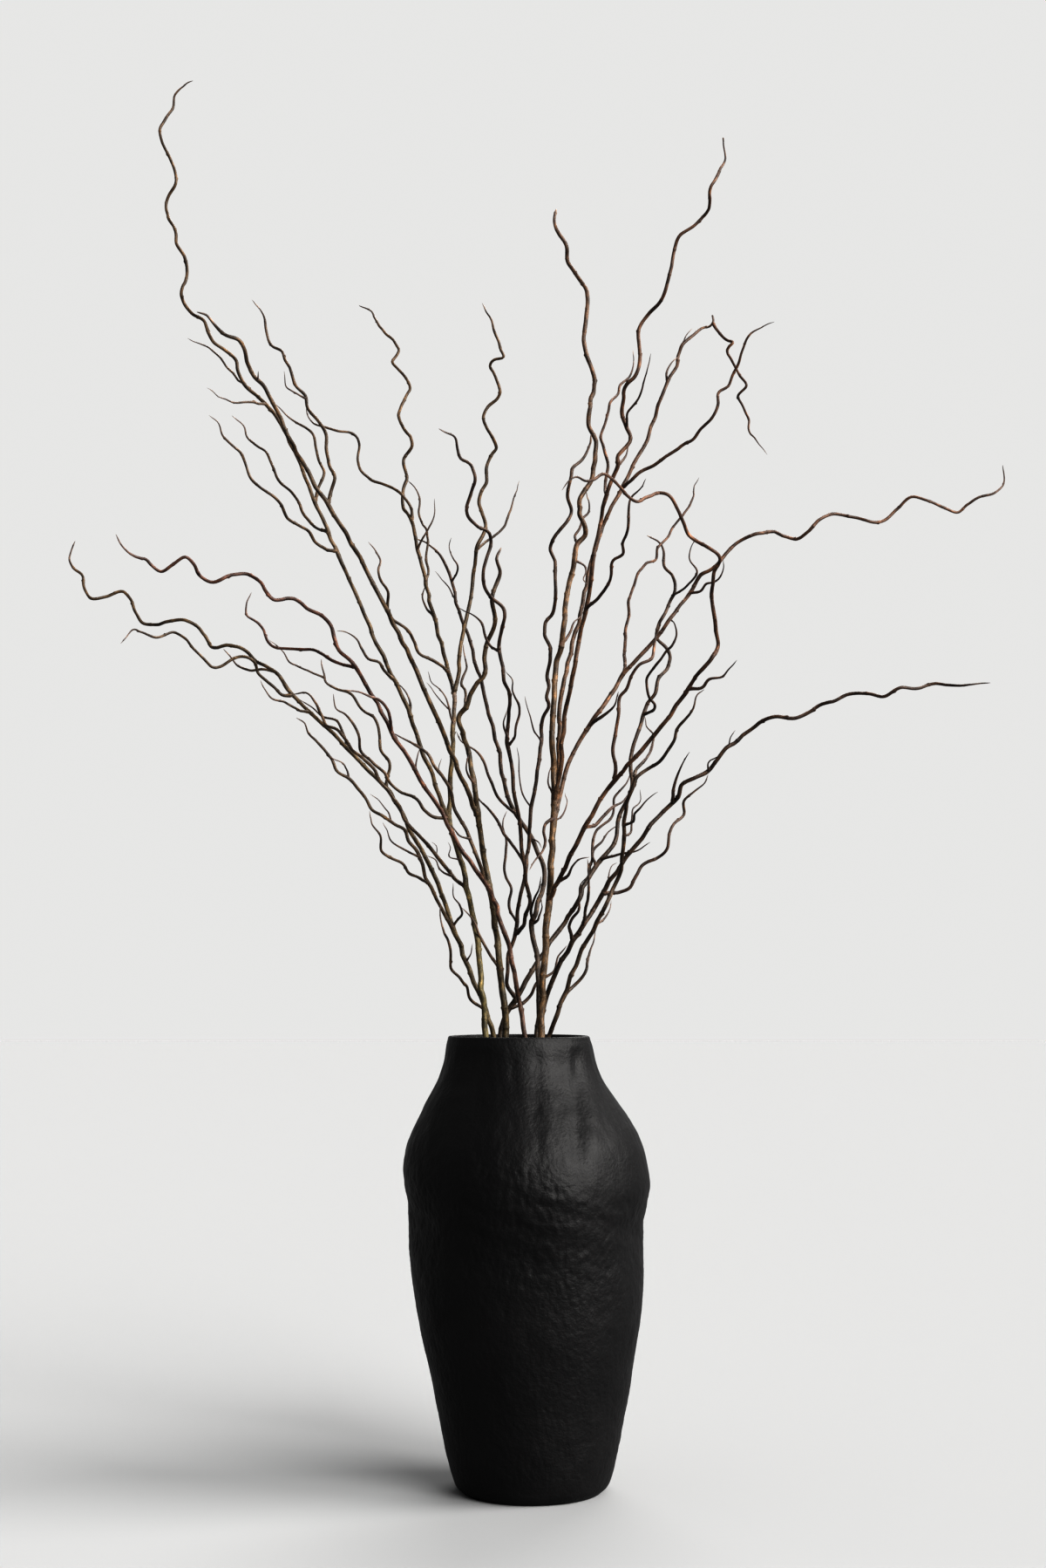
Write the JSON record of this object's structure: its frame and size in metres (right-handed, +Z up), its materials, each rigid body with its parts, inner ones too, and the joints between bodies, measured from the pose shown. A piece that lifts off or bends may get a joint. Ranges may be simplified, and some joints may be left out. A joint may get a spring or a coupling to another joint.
{
  "type": "willow branches in a vase",
  "caption": "Tall hand-formed matte vase with bare curly willow branches fanning out of its mouth.",
  "frame": {"origin": "the middle of the vase's flat base", "axes": "+Z up, along the bunch's height; -Y is the side that faces the viewer; +X is the viewer's right"},
  "size_m": [0.8835, 0.5135, 1.2698],
  "materials": {
    "vase": "matte",
    "olive_bark": "satin",
    "red_bark": "satin",
    "brown_bark": "satin",
    "red_brown_bark": "satin",
    "dark_bark": "satin"
  },
  "bodies": {
    "root": {"vase": "vase", "branch_olive_left": "olive_bark", "branch_thin_red": "red_bark", "branch_far_left": "olive_bark", "branch_brown_left": "brown_bark", "branch_dark_crossing": "dark_bark", "branch_dark_centre": "dark_bark", "branch_red_brown": "red_brown_bark", "branch_low_right": "dark_bark", "branch_outer_right": "dark_bark"}
  },
  "joints": []
}
